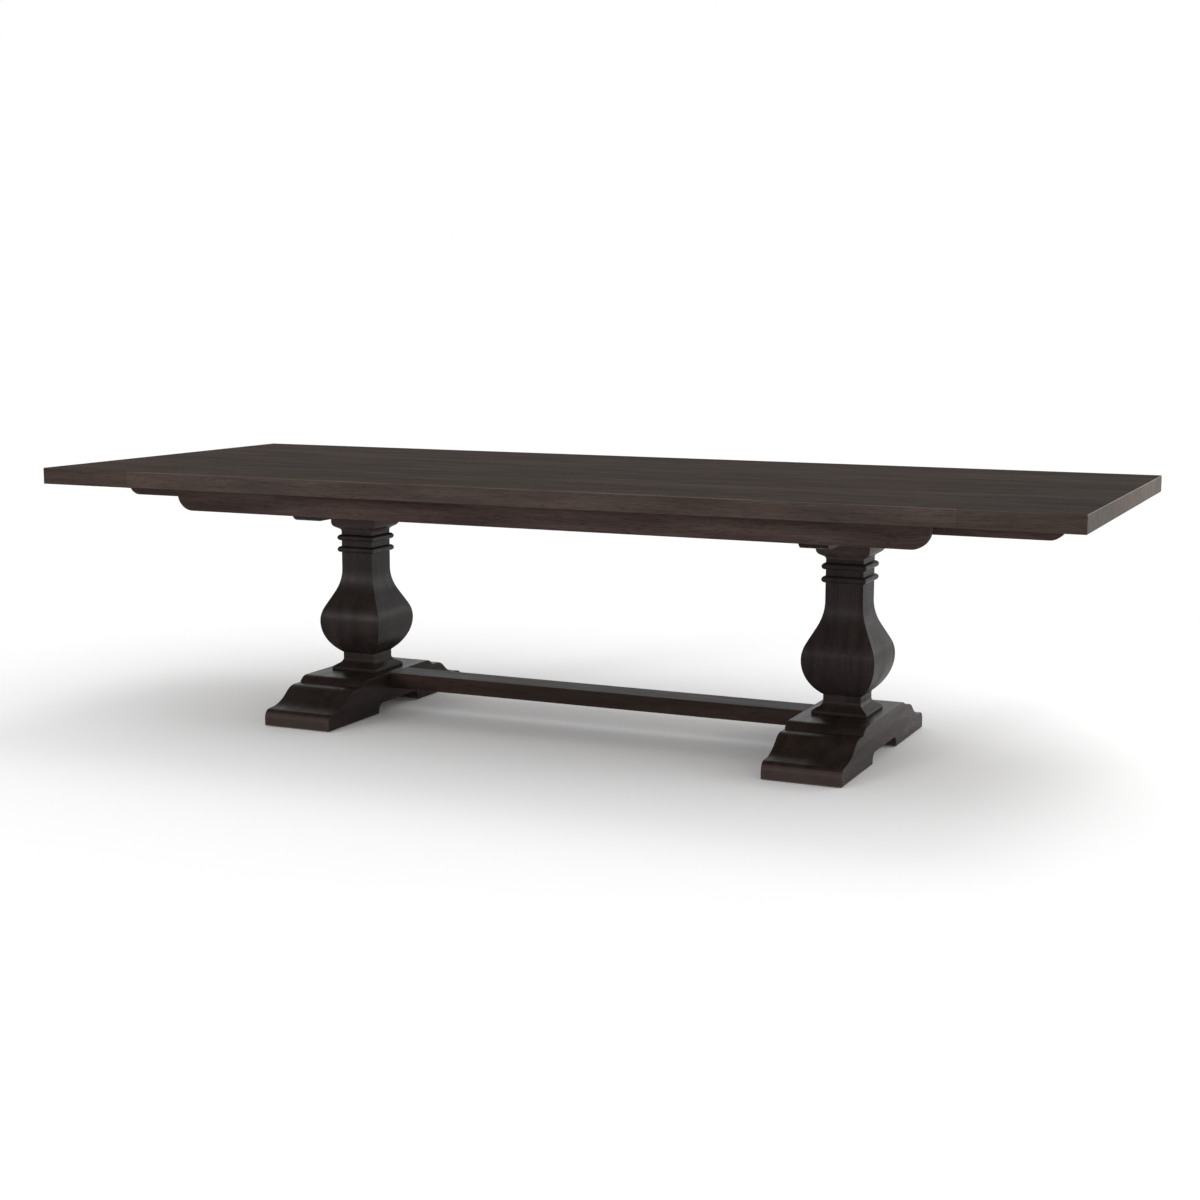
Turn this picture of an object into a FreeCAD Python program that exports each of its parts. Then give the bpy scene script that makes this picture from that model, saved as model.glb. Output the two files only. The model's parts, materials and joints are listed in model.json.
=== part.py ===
import FreeCAD, Part
import math
import os
from types import SimpleNamespace

import Sketcher

# A trestle extension table, drawn extended, with its two end leaves on their pulled-out rails.
# X runs along the table, Y across it from front to back and Z up, in millimetres.
# The origin is on the floor under the middle of the table.

driving_sizes = {
    # the whole table and its top
    "table_length": 3048,
    "table_width": 1200,
    "table_height": 762,
    "top_thickness": 48,
    "leaf_length": 304.8,
    "seam_gap": 0.6,
    "leaf_rest_gap": 0.3,
    "top_arris": 2.5,
    "top_corner_round": 4,
    # aprons, and the cross members between them
    "apron_setback": 117,
    "apron_thickness": 22,
    "apron_depth": 71,
    "apron_inset": 92,
    "apron_corner_round": 50,
    "crosspiece_gap": 133.2,
    "crosspiece_width": 60,
    "crosspiece_depth": 68,
    "batten_width": 60,
    "batten_depth": 49,
    "block_side": 36,
    "block_length": 90,
    # leaf rails
    "rail_setback": 271,
    "rail_thickness": 36,
    "rail_depth": 48.4,
    "rail_length": 725,
    "rail_end_inset": 99,
    "rail_corner_round": 38,
    "running_gap": 0.4,
    "stop_gap": 0.4,
    "peg_radius": 5,
    "peg_proud": 8,
    # pedestals, from the bearer down to the plinth
    "pedestal_set_back": 438.2,
    "bearer_width": 82,
    "bearer_end_margin": 16,
    "bearer_depth": 102,
    "bearer_corner_round": 28,
    "capital_width": 154,
    "capital_height": 61,
    "neck_width": 108,
    "bulb_width": 210,
    "bead_radius": 9.5,
    "plinth_width": 160,
    "plinth_height": 35,
    # feet, their glides and the stretcher between them
    "foot_width": 223,
    "foot_length": 812,
    "foot_height": 118,
    "relief_length": 236,
    "relief_height": 30,
    "relief_corner_round": 22,
    "glide_radius": 14,
    "glide_height": 2,
    "glide_inset": 34,
    "glide_nail_radius": 2,
    "glide_nail_length": 14,
    "stretcher_width": 100,
    "stretcher_depth": 47,
    # tie rod that clamps foot, plinth, pedestal, capital and bearer together
    "tie_rod_radius": 6,
    "tie_rod_proud": 3,
    "nut_radius": 11,
    "nut_height": 10,
    "washer_radius": 15,
    "washer_thickness": 2.5,
    "nut_recess_radius": 17,
    "foot_recess_depth": 18,
    "bearer_recess_depth": 22,
    "rod_gap": 0.5,
    "thread_gap": 0.1,
    # dowels
    "pedestal_dowel_radius": 7,
    "pedestal_dowel_bite": 30,
    "pedestal_dowel_x": 22,
    "pedestal_dowel_y": 34,
    "stretcher_dowel_radius": 6,
    "stretcher_dowel_bite": 30,
    "stretcher_dowel_y": 32,
    "apron_dowel_radius": 4,
    "apron_dowel_bite": 14,
    "apron_dowel_length": 39,
    "dowel_gap": 0.1,
    "dowel_end_gap": 1,
    # stretcher bolts with barrel nuts
    "stretcher_bolt_radius": 5,
    "foot_bolt_bite": 50,
    "stretcher_bolt_bite": 60,
    "barrel_radius": 9,
    "barrel_length": 30,
    "barrel_set_back": 45,
    "barrel_gap": 0.2,
    # hexagon screws from the bearers into the top
    "lag_radius": 4,
    "lag_head_radius": 7.5,
    "lag_head_height": 5.5,
    "lag_bite": 32,
    "lag_seat_depth": 60,
    "lag_recess_radius": 10,
    # wood screws through battens, crosspieces, cleats and blocks
    "screw_radius": 2.5,
    "screw_head_radius": 5,
    "screw_head_height": 3,
    "screw_bite": 26,
    "screw_seat_depth": 20,
    "screw_recess_radius": 6,
    "screw_gap": 0.1,
    # flush screws in the steel plates
    "tack_radius": 2,
    "tack_head_radius": 4,
    "tack_head_height": 1.6,
    "tack_length": 20,
    # steel tabs under the seams
    "tab_length": 90,
    "tab_width": 40,
    "tab_thickness": 4,
    "tab_reach": 40,
    # leaf cleats
    "cleat_width": 60,
    "cleat_depth": 22,
    "cleat_end_gap": 13,
    "cleat_inset": 134,
    "cleat_seat_depth": 6,
    # swing latches across the seams
    "plate_length": 80,
    "plate_width": 40,
    "plate_thickness": 3,
    "latch_set_back": 60,
    "stud_set_in": 25,
    "latch_pin_radius": 4,
    "latch_pin_head_radius": 8,
    "latch_pin_head_height": 2,
    "lever_thickness": 5,
    "lever_gap": 0.4,
    "lever_hub_radius": 14,
    "lever_arm_width": 18,
    "lever_tail": 34,
    "lever_tail_width": 14,
    "hook_wall": 12,
    "stud_radius": 4,
    "stud_gap": 0.3,
    "strike_length": 44,
    "strike_width": 36,
    # how far a cutter runs past the face that it opens
    "overrun": 5,
}

# Each outline share is across, up and how far the edge after it bulges for its own length.
# A bulge above zero is convex, below zero hollow, and at zero the edge is straight.
quarter_bulge_share = (math.sqrt(2) - 1) / 2

# Foot, from the toe's face up to the flat top: shares of half its length and of its height.
foot_shares = [
    (1.0, 0.22, quarter_bulge_share),
    (0.941, 0.424, 0),
    (0.897, 0.436, -0.066),
    (0.751, 0.61, 0),
    (0.714, 0.703, 0.085),
    (0.616, 0.846, 0),
    (0.527, 0.846, 0.125),
    (0.443, 1.0, 0),
]

# Plinth: shares of the step from the neck out to its face, and of its height.
plinth_shares = [
    (1.0, 0, 0),
    (1.0, 0.17, 0.127),
    (0.81, 0.37, 0),
    (0.46, 0.54, -0.14),
    (0, 1.0, 0),
]

# Bulb of the pedestal: shares of the step from the neck out to the widest point, and of its height.
bulb_shares = [
    (0, 0, 0),
    (0, 0.046, 0.118),
    (1.0, 0.3015, 0.06),
    (0.78, 0.417, 0),
    (0.345, 0.5244, -0.06),
    (0, 0.706, 0),
]
bead_height_shares = [0.8593, 0.951]

# Capital: shares of the step from the neck out to its face, and of its height.
capital_shares = [
    (0, 0, -0.132),
    (0.19, 0.126, 0),
    (0.61, 0.22, 0.13),
    (1.0, 0.475, 0),
    (1.0, 1.0, 0),
]

# Places along other pieces.
bearer_screw_shares = [0.5, 0.85]
inner_screw_share = 0.65
cleat_screw_shares = [-0.86, -0.32, 0.32, 0.86]
latch_place_share = 0.58
tab_screw_shares = [0.3, 0.75]
plate_screw_share = 0.36
strike_screw_share = 0.34

# Turns of the swing latch's hook about its pivot, in degrees.
hook_open_angle = 22
hook_closed_angle = 14

sides = ((-1, "left"), (1, "right"))
fronts = ((-1, "front"), (1, "back"))

doc = FreeCAD.newDocument("TrestleTable")
sheet = doc.addObject("Spreadsheet::Sheet", "Sizes")
for row, (alias, number) in enumerate(driving_sizes.items(), start=1):
    sheet.set(f"A{row}", alias)
    sheet.set(f"B{row}", str(number))
    sheet.setAlias(f"B{row}", alias)
doc.recompute()


class Size:
    # A length together with the sheet's expression for it, so that sums of sizes stay bound.
    def __init__(self, text, value):
        self.text = text
        self.value = value

    def combined(self, sign, other, value):
        return Size(f"({self.text} {sign} {as_size(other).text})", value)

    def __add__(self, other):
        return self.combined("+", other, self.value + as_size(other).value)

    def __sub__(self, other):
        return self.combined("-", other, self.value - as_size(other).value)

    def __mul__(self, other):
        return self.combined("*", other, self.value * as_size(other).value)

    def __truediv__(self, other):
        return self.combined("/", other, self.value / as_size(other).value)

    def __rmul__(self, other):
        return as_size(other) * self

    def __neg__(self):
        return as_size(-1) * self


def as_size(amount):
    return amount if isinstance(amount, Size) else Size(f"({amount})", amount)


def diagonal(across, up):
    squares = across * across + up * up
    return Size(f"sqrt({squares.text})", math.sqrt(squares.value))


size = SimpleNamespace(**{alias: Size(f"Sizes.{alias}", float(sheet.get(alias))) for alias in driving_sizes})
none = as_size(0)

# Heights.
underside = size.table_height - size.top_thickness
leaf_underside = underside + size.leaf_rest_gap
rail_top = underside - size.running_gap
rail_bottom = rail_top - size.rail_depth
bearer_bottom = underside - size.bearer_depth
relief_roof = size.glide_height + size.relief_height
pedestal_bottom = size.foot_height + size.plinth_height
pedestal_top = bearer_bottom - size.capital_height
stretcher_middle = size.foot_height - size.stretcher_depth / 2
dowel_height = underside - size.batten_depth / 2
lever_top = underside - size.plate_thickness - size.lever_gap
lever_bottom = lever_top - size.lever_thickness

# Distances from the middle, along the table.
table_end = size.table_length / 2
seam = table_end - size.leaf_length
main_end = seam - size.seam_gap / 2
leaf_start = seam + size.seam_gap / 2
apron_end = seam - size.apron_inset
pedestal_place = seam - size.pedestal_set_back
bearer_inner = pedestal_place - size.bearer_width / 2
bearer_outer = pedestal_place + size.bearer_width / 2
crosspiece_inner = bearer_outer + size.crosspiece_gap
crosspiece_outer = crosspiece_inner + size.crosspiece_width
crosspiece_middle = (crosspiece_inner + crosspiece_outer) / 2
rail_end = table_end - size.rail_end_inset
rail_travel = rail_end - apron_end
batten_outer = rail_end - rail_travel - size.rail_length - size.stop_gap
batten_inner = batten_outer - size.batten_width
batten_middle = (batten_inner + batten_outer) / 2
peg_place = bearer_inner - size.stop_gap - size.peg_radius
foot_side = pedestal_place - size.foot_width / 2
pivot_place = seam - size.latch_set_back
stud_place = seam + size.stud_set_in
hook_reach = stud_place - pivot_place
cleat_place = table_end - size.cleat_inset

# Distances from the middle, across the table.
table_side = size.table_width / 2
apron_outer = table_side - size.apron_setback
apron_inner = apron_outer - size.apron_thickness
rail_outer = table_side - size.rail_setback
rail_inner = rail_outer - size.rail_thickness
rail_middle = (rail_outer + rail_inner) / 2
tab_place = (rail_outer + apron_inner) / 2
latch_place = rail_inner * latch_place_share
cleat_side = rail_inner - size.cleat_end_gap
glide_side = size.foot_length / 2 - size.glide_inset

turns = {
    "X": FreeCAD.Rotation(FreeCAD.Vector(0, 1, 0), 90),
    "Y": FreeCAD.Rotation(FreeCAD.Vector(1, 0, 0), -90),
    "Z": FreeCAD.Rotation(),
}
nodes = []


def bind(target, slot, amount):
    target.setExpression(slot, as_size(amount).text)


def place(piece, x, y, z):
    for axis, amount in zip("xyz", (x, y, z)):
        bind(piece, f"Placement.Base.{axis}", amount)
    return piece


def keep(piece, label):
    piece.Label = label
    nodes.append(piece)
    return piece


def span(middle, width):
    return middle - width / 2, middle + width / 2


def both_ways(half):
    return -half, half


def outward(side, near, far):
    return (near, far) if side > 0 else (-far, -near)


def box(name, x_span, y_span, z_span):
    piece = doc.addObject("Part::Box", name)
    for slot, (low, high) in zip(("Length", "Width", "Height"), (x_span, y_span, z_span)):
        bind(piece, slot, high - low)
    return place(piece, x_span[0], y_span[0], z_span[0])


def cylinder(name, radius, length, start, along="Z"):
    piece = doc.addObject("Part::Cylinder", name)
    bind(piece, "Radius", radius)
    bind(piece, "Height", length)
    piece.Placement = FreeCAD.Placement(FreeCAD.Vector(), turns[along])
    return place(piece, *start)


def hexagon(name, radius, length, start):
    piece = doc.addObject("Part::Prism", name)
    piece.Polygon = 6
    bind(piece, "Circumradius", radius)
    bind(piece, "Height", length)
    return place(piece, *start)


def joined(name, pieces):
    if len(pieces) == 1:
        return pieces[0]
    fusion = doc.addObject("Part::MultiFuse", name)
    fusion.Shapes = pieces
    return fusion


def without(name, base, cutters):
    piece = doc.addObject("Part::Cut", name)
    piece.Base = base
    piece.Tool = joined(f"{name}_cutters", cutters)
    return piece


def group(name, pieces):
    holder = doc.addObject("Part::Compound", name)
    holder.Links = pieces
    return keep(holder, name)


def outline_edge(start, end):
    # The edge from one corner to the next, and which of its ends comes first.
    (x, y, bulge), (next_x, next_y, _) = start, end
    near = FreeCAD.Vector(x.value, y.value, 0)
    far = FreeCAD.Vector(next_x.value, next_y.value, 0)
    if bulge == 0:
        return Part.LineSegment(near, far), None, (1, 2)
    chord = diagonal(next_x - x, next_y - y)
    radius = chord * ((1 + 4 * bulge**2) / (8 * abs(bulge)))
    rise = far - near
    left = FreeCAD.Vector(-rise.y, rise.x, 0).normalize()
    inset = radius.value - abs(bulge) * chord.value
    centre = (near + far) / 2 + left * math.copysign(inset, bulge)
    circle = Part.Circle(centre, FreeCAD.Vector(0, 0, 1), radius.value)
    first, last = (near, far) if bulge > 0 else (far, near)
    turn = [math.atan2(point.y - centre.y, point.x - centre.x) for point in (first, last)]
    if turn[1] < turn[0]:
        turn[1] += 2 * math.pi
    return Part.ArcOfCircle(circle, *turn), radius, (1, 2) if bulge > 0 else (2, 1)


def point_constraint(edge, end, slot, axis, amount):
    # Holds one coordinate of a corner, on the axis where it is zero.
    if amount.value == 0:
        return Sketcher.Constraint("PointOnObject", edge, end, axis), None
    ends = (-1, 1, edge, end) if amount.value > 0 else (edge, end, -1, 1)
    return Sketcher.Constraint(slot, *ends, abs(amount.value)), amount if amount.value > 0 else -amount


def draw_outline(body, role, corners):
    # A closed outline, its corners listed counterclockwise.
    sketch = body.newObject("Sketcher::SketchObject", f"{body.Name}_outline")
    plane = [feature for feature in body.Origin.OriginFeatures if feature.Role == role][0]
    sketch.AttachmentSupport = [(plane, "")]
    sketch.MapMode = "FlatFace"
    edges = [outline_edge(corner, following) for corner, following in zip(corners, corners[1:] + corners[:1])]
    sketch.addGeometry([shape for shape, _, _ in edges], False)
    held = []
    for number, (_, radius, ends) in enumerate(edges):
        x, y, _ = corners[number]
        following = (number + 1) % len(edges)
        meeting = Sketcher.Constraint("Coincident", number, ends[1], following, edges[following][2][0])
        held += [(meeting, None), point_constraint(number, ends[0], "DistanceX", -2, x),
                 point_constraint(number, ends[0], "DistanceY", -1, y)]
        if radius:
            held.append((Sketcher.Constraint("Radius", number, radius.value), radius))
    sketch.addConstraint([constraint for constraint, _ in held])
    for number, (_, amount) in enumerate(held):
        if amount:
            bind(sketch, f"Constraints[{number}]", amount)
    return sketch


def extruded(name, role, corners, thickness, centred=True):
    body = doc.addObject("PartDesign::Body", name)
    pad = body.newObject("PartDesign::Pad", f"{name}_pad")
    pad.Profile = draw_outline(body, role, corners)
    pad.Midplane = centred
    bind(pad, "Length", thickness)
    return body


def round_edges(body, radius, wanted):
    doc.recompute()
    base = body.Tip
    edges = enumerate(base.Shape.Edges, start=1)
    names = [f"Edge{number}" for number, edge in edges if wanted(edge.BoundBox)]
    fillet = body.newObject("PartDesign::Fillet", f"{body.Name}_round")
    fillet.Base = (base, names)
    bind(fillet, "Radius", radius)


def rectangle(x_span, y_span):
    (left, right), (low, high) = x_span, y_span
    return [(left, low, 0), (right, low, 0), (right, high, 0), (left, high, 0)]


def mirrored_outline(right_side):
    # The right side's corners, bottom to top, and the same on the left from top to bottom.
    bulges = [bulge for _, _, bulge in right_side]
    left_bulges = bulges[:-1][::-1] + [0]
    left_side = [(-x, y, bulge) for (x, y, _), bulge in zip(right_side[::-1], left_bulges)]
    return right_side + left_side


def screw(name, head_radius, head_height, shank_radius, length, seat):
    # A screw driven upwards, its head below the seat.
    x, y, z = seat
    head = cylinder(f"{name}_head", head_radius, head_height, (x, y, z - head_height))
    shank = cylinder(f"{name}_shank", shank_radius, length, seat)
    return joined(name, [head, shank])


def screw_hole(name, recess_radius, recess_depth, bore_radius, length, seat):
    # The hole for such a screw, opened downwards past the face that it starts from.
    x, y, z = seat
    recess = cylinder(f"{name}_recess", recess_radius, recess_depth, (x, y, z - recess_depth))
    bore = cylinder(f"{name}_bore", bore_radius, length, seat)
    return joined(name, [recess, bore])


# Screws are listed as they are placed, so that the top is drilled where they bite.
main_top_bites = []


def wood_screw(name, x, y, seat_height, bite_height):
    length = bite_height + size.screw_bite - seat_height
    return screw(name, size.screw_head_radius, size.screw_head_height, size.screw_radius, length,
                 (x, y, seat_height))


def wood_screw_hole(name, x, y, seat_height, bite_height):
    return screw_hole(name, size.screw_recess_radius, size.screw_seat_depth + size.overrun,
                      size.screw_radius + size.screw_gap, bite_height + size.screw_bite - seat_height,
                      (x, y, seat_height))


def bite_hole(name, start, radius, depth):
    return cylinder(f"{name}_bite", radius + size.screw_gap, depth + size.dowel_end_gap, start)


def plate_screws(name, places, y, plate_bottom, thickness, bites):
    # Flush screws in a plate: the screws, the holes in the plate, and the holes where they bite.
    tacks, holes = [], []
    for number, x in enumerate(places):
        seat = (x, y, plate_bottom + size.tack_head_height)
        label = f"{name}_tack_{number}"
        tacks.append(screw(label, size.tack_head_radius, size.tack_head_height, size.tack_radius,
                           size.tack_length, seat))
        holes.append(screw_hole(f"{label}_hole", size.tack_head_radius + size.screw_gap,
                                size.tack_head_height + size.overrun, size.tack_radius + size.screw_gap,
                                size.tack_length, seat))
        bites.append(bite_hole(label, (x, y, plate_bottom + thickness), size.tack_radius,
                               size.tack_length - thickness + size.tack_head_height))
    return tacks, holes


def make_rounded_board(name, x_span, thickness, bottom, outer_end):
    # A piece of the top. Its seam edges stay square, its other edges have a small arris.
    body = extruded(name, "XY_Plane", rectangle(x_span, both_ways(table_side)), thickness, centred=False)
    place(body, none, none, bottom)
    near = size.top_arris.value / 2
    if outer_end:
        seam_side, end = (x_span if outer_end > 0 else x_span[::-1])
        round_edges(body, size.top_corner_round,
                    lambda edge: edge.ZLength > near and abs(edge.XMin - end.value) < near)
        round_edges(body, size.top_arris,
                    lambda edge: edge.ZLength < near and abs(edge.Center.x - seam_side.value) > near)
    else:
        round_edges(body, size.top_arris, lambda edge: edge.ZLength < near and edge.YLength < near)
    return body


def make_leaf(side, name):
    x = side * cleat_place
    x_span = outward(side, leaf_start, table_end)
    thickness = size.table_height - leaf_underside
    body = make_rounded_board(f"{name}_leaf_board", x_span, thickness, leaf_underside, side)
    cleat = box(f"{name}_cleat_board", span(x, size.cleat_width), both_ways(cleat_side),
                (leaf_underside - size.cleat_depth, leaf_underside))
    seat = leaf_underside - size.cleat_depth + size.cleat_seat_depth
    screws, cleat_holes, leaf_holes = [], [], []
    for number, share in enumerate(cleat_screw_shares):
        y = cleat_side * share
        label = f"{name}_cleat_screw_{number}"
        screws.append(wood_screw(label, x, y, seat, leaf_underside))
        cleat_holes.append(wood_screw_hole(f"{label}_hole", x, y, seat, leaf_underside))
        leaf_holes.append(bite_hole(label, (x, y, leaf_underside), size.screw_radius, size.screw_bite))
    strikes, strike_screws = [], []
    for front, front_name in fronts:
        strike, tacks = make_strike(side, front, f"{front_name}_{name}", leaf_holes)
        strikes.append(strike)
        strike_screws += tacks
    keep(without(f"{name}_leaf_drilled", body, leaf_holes), f"{name}_leaf")
    keep(without(f"{name}_cleat_drilled", cleat, cleat_holes), f"{name}_leaf_cleat")
    group(f"{name}_cleat_screws", screws)
    group(f"{name}_strikes", strikes)
    group(f"{name}_strike_screws", strike_screws)


def make_strike(side, front, name, leaf_holes):
    # The latch's stud under the leaf, headless so that the leaf lifts straight off.
    x, y = side * stud_place, front * latch_place
    plate_bottom = leaf_underside - size.plate_thickness
    stud_bottom = lever_bottom - size.lever_gap
    plate = box(f"{name}_strike_plate", span(x, size.strike_length), span(y, size.strike_width),
                (plate_bottom, leaf_underside))
    stud = cylinder(f"{name}_strike_stud", size.stud_radius, plate_bottom - stud_bottom, (x, y, stud_bottom))
    places = [x + size.strike_length * share for share in (-strike_screw_share, strike_screw_share)]
    tacks, holes = plate_screws(f"{name}_strike", places, y, plate_bottom, size.plate_thickness, leaf_holes)
    return joined(f"{name}_strike", [without(f"{name}_strike_drilled", plate, holes), stud]), tacks


def make_latch(side, front, name):
    # The lever's hook swings about its pivot, and its slot is an arc about the same pivot.
    x, y = side * pivot_place, front * latch_place
    plate_bottom = underside - size.plate_thickness
    pin_bottom = lever_bottom - size.lever_gap - size.latch_pin_head_height
    plate = box(f"{name}_latch_plate", span(x, size.plate_length), span(y, size.plate_width),
                (plate_bottom, underside))
    places = [x + size.plate_length * share for share in (-plate_screw_share, plate_screw_share)]
    tacks, holes = plate_screws(f"{name}_latch", places, y, plate_bottom, size.plate_thickness,
                                main_top_bites)
    pin_foot = (x, y, pin_bottom)
    pin_head = cylinder(f"{name}_pin_head", size.latch_pin_head_radius, size.latch_pin_head_height, pin_foot)
    pin_stem = cylinder(f"{name}_pin_stem", size.latch_pin_radius, plate_bottom - pin_bottom, pin_foot)
    make_lever(side, x, y, name)
    drilled = without(f"{name}_latch_plate_drilled", plate, holes)
    return drilled, joined(f"{name}_pin", [pin_head, pin_stem]), tacks


def upright_turn(angle):
    return FreeCAD.Rotation(FreeCAD.Vector(0, 0, 1), angle)


def sector(name, radius, first_angle, last_angle):
    piece = doc.addObject("Part::Cylinder", name)
    bind(piece, "Radius", radius)
    bind(piece, "Height", size.lever_thickness)
    piece.Angle = last_angle - first_angle
    piece.Placement = FreeCAD.Placement(FreeCAD.Vector(), upright_turn(first_angle))
    return piece


def make_lever(side, x, y, name):
    # Drawn about its pivot at the origin, the hook towards +X, then turned and moved to its place.
    slot_half = size.stud_radius + size.stud_gap
    slot_inner, slot_outer = hook_reach - slot_half, hook_reach + slot_half
    hook_inner, hook_outer = slot_inner - size.hook_wall, slot_outer + size.hook_wall
    level = (none, size.lever_thickness)
    hook = without(f"{name}_hook_ring",
                   sector(f"{name}_hook_outer", hook_outer, -hook_open_angle, hook_closed_angle),
                   [cylinder(f"{name}_hook_inner", hook_inner, size.lever_thickness, (none, none, none))])
    slot = without(f"{name}_slot_ring",
                   sector(f"{name}_slot_outer", slot_outer, -2 * hook_open_angle, 0),
                   [cylinder(f"{name}_slot_inner", slot_inner, size.lever_thickness, (none, none, none))])
    slot_end = cylinder(f"{name}_slot_end", slot_half, size.lever_thickness, (hook_reach, none, none))
    hub = cylinder(f"{name}_hub", size.lever_hub_radius, size.lever_thickness, (none, none, none))
    arm_span = (none, hook_inner + size.hook_wall / 2)
    arm = box(f"{name}_arm", arm_span, both_ways(size.lever_arm_width / 2), level)
    tail = box(f"{name}_tail", (-size.lever_tail, none), both_ways(size.lever_tail_width / 2), level)
    tail_end = cylinder(f"{name}_tail_end", size.lever_tail_width / 2, size.lever_thickness,
                        (-size.lever_tail, none, none))
    bore = cylinder(f"{name}_bore", size.latch_pin_radius + size.stud_gap, size.lever_thickness,
                    (none, none, none))
    solid = joined(f"{name}_lever_solid", [hook, hub, arm, tail, tail_end])
    lever = without(f"{name}_lever", solid, [slot, slot_end, bore])
    lever.Placement.Rotation = upright_turn(0 if side > 0 else 180)
    keep(place(lever, x, y, lever_bottom), f"{name}_latch_lever")


def make_tab(side, front, name):
    # A steel tab screwed under the main top, that the leaf's inner edge rests on.
    inner, outer = main_end + size.tab_reach - size.tab_length, main_end + size.tab_reach
    plate = box(f"{name}_tab_plate", outward(side, inner, outer), span(front * tab_place, size.tab_width),
                (underside - size.tab_thickness, underside))
    places = [side * (inner + (size.tab_length - size.tab_reach) * share) for share in tab_screw_shares]
    tacks, holes = plate_screws(f"{name}_tab", places, front * tab_place, underside - size.tab_thickness,
                                size.tab_thickness, main_top_bites)
    return without(f"{name}_tab", plate, holes), tacks


def make_apron(front, name):
    apron_bottom = -size.apron_depth
    corners = mirrored_outline([
        (apron_end - size.apron_corner_round, apron_bottom, quarter_bulge_share),
        (apron_end, apron_bottom + size.apron_corner_round, 0),
        (apron_end, none, 0),
    ])
    body = extruded(f"{name}_apron_board", "XZ_Plane", corners, size.apron_thickness)
    place(body, none, front * (apron_outer + apron_inner) / 2, underside)
    sockets = []
    for side, side_name in sides:
        for middle, member in ((batten_middle, "batten"), (crosspiece_middle, "crosspiece")):
            deep_end = apron_inner + size.apron_dowel_bite + size.dowel_end_gap
            low, high = outward(front, apron_inner - size.overrun, deep_end)
            sockets.append(cylinder(f"{name}_apron_{side_name}_{member}_socket",
                                    size.apron_dowel_radius + size.dowel_gap, high - low,
                                    (side * middle, low, dowel_height), "Y"))
    keep(without(f"{name}_apron_drilled", body, sockets), f"{name}_apron")


def rail_slots(name, x_span):
    # The two slots that the rails run in, open at the top.
    slots = []
    for front, front_name in fronts:
        y_span = outward(front, rail_inner - size.running_gap, rail_outer + size.running_gap)
        slots.append(box(f"{name}_{front_name}_slot", x_span, y_span,
                         (rail_bottom - size.running_gap, underside + size.overrun)))
    return slots


def make_cross_member(side, name, middle, width, depth, slotted):
    # A member across the table between the aprons, screwed up into the top and dowelled to the aprons.
    x = side * middle
    x_span = span(x, width)
    board = box(f"{name}_board", x_span, both_ways(apron_inner), (underside - depth, underside))
    seat = underside - depth + size.screw_seat_depth
    places = [none] + [front * y for front, _ in fronts for y in (rail_inner * inner_screw_share, tab_place)]
    screws, holes = [], []
    for number, y in enumerate(places):
        label = f"{name}_screw_{number}"
        screws.append(wood_screw(label, x, y, seat, underside))
        holes.append(wood_screw_hole(f"{label}_hole", x, y, seat, underside))
        main_top_bites.append(bite_hole(label, (x, y, underside), size.screw_radius, size.screw_bite))
    dowels = []
    for front, front_name in fronts:
        inner_end = apron_inner + size.apron_dowel_bite - size.apron_dowel_length
        low, high = outward(front, inner_end, apron_inner + size.apron_dowel_bite)
        dowels.append(cylinder(f"{name}_{front_name}_dowel", size.apron_dowel_radius, high - low,
                               (x, low, dowel_height), "Y"))
        low, high = outward(front, inner_end - size.dowel_end_gap, apron_inner + size.overrun)
        holes.append(cylinder(f"{name}_{front_name}_dowel_hole", size.apron_dowel_radius + size.dowel_gap,
                              high - low, (x, low, dowel_height), "Y"))
    if slotted:
        holes += rail_slots(name, (x_span[0] - size.overrun, x_span[1] + size.overrun))
    keep(without(f"{name}_cut", board, holes), name)
    return screws, dowels


def make_blocks():
    # Glued in the corners between the aprons and the top, each held by a screw up into the top.
    middle_block = (crosspiece_inner + batten_outer) / 2
    outer_block = (crosspiece_outer + apron_end) / 2
    bottom = underside - size.block_side
    seat = bottom + size.screw_head_height
    blocks, screws = [], []
    for front, front_name in fronts:
        y_span = outward(front, apron_inner - size.block_side, apron_inner)
        y = front * (apron_inner - size.block_side / 2)
        for number, x in enumerate((-outer_block, -middle_block, none, middle_block, outer_block)):
            label = f"{front_name}_block_{number}"
            wood = box(f"{label}_wood", span(x, size.block_length), y_span, (bottom, underside))
            hole = wood_screw_hole(f"{label}_hole", x, y, seat, underside)
            blocks.append(without(label, wood, [hole]))
            screws.append(wood_screw(f"{label}_screw", x, y, seat, underside))
            main_top_bites.append(bite_hole(label, (x, y, underside), size.screw_radius, size.screw_bite))
    group("glue_blocks", blocks)
    group("glue_block_screws", screws)


def make_rail(side, front, name):
    # Drawn from its inner end at the origin towards +X, its outer lower corner rounded.
    corners = [
        (none, none, 0),
        (size.rail_length - size.rail_corner_round, none, quarter_bulge_share),
        (size.rail_length, size.rail_corner_round, 0),
        (size.rail_length, size.rail_depth, 0),
        (none, size.rail_depth, 0),
    ]
    body = extruded(f"{name}_rail_board", "XZ_Plane", corners, size.rail_thickness)
    body.Placement.Rotation = upright_turn(0 if side > 0 else 180)
    place(body, side * (rail_end - size.rail_length), front * rail_middle, rail_bottom)
    height = (rail_bottom + rail_top) / 2
    peg_low, peg_high = span(front * rail_middle, size.rail_thickness + size.peg_proud * 2)
    start = (side * peg_place, peg_low, height)
    peg = cylinder(f"{name}_peg", size.peg_radius, peg_high - peg_low, start, "Y")
    hole = cylinder(f"{name}_peg_hole", size.peg_radius + size.dowel_gap, peg_high - peg_low, start, "Y")
    keep(without(f"{name}_rail_drilled", body, [hole]), f"{name}_rail")
    keep(peg, f"{name}_rail_peg")


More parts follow.
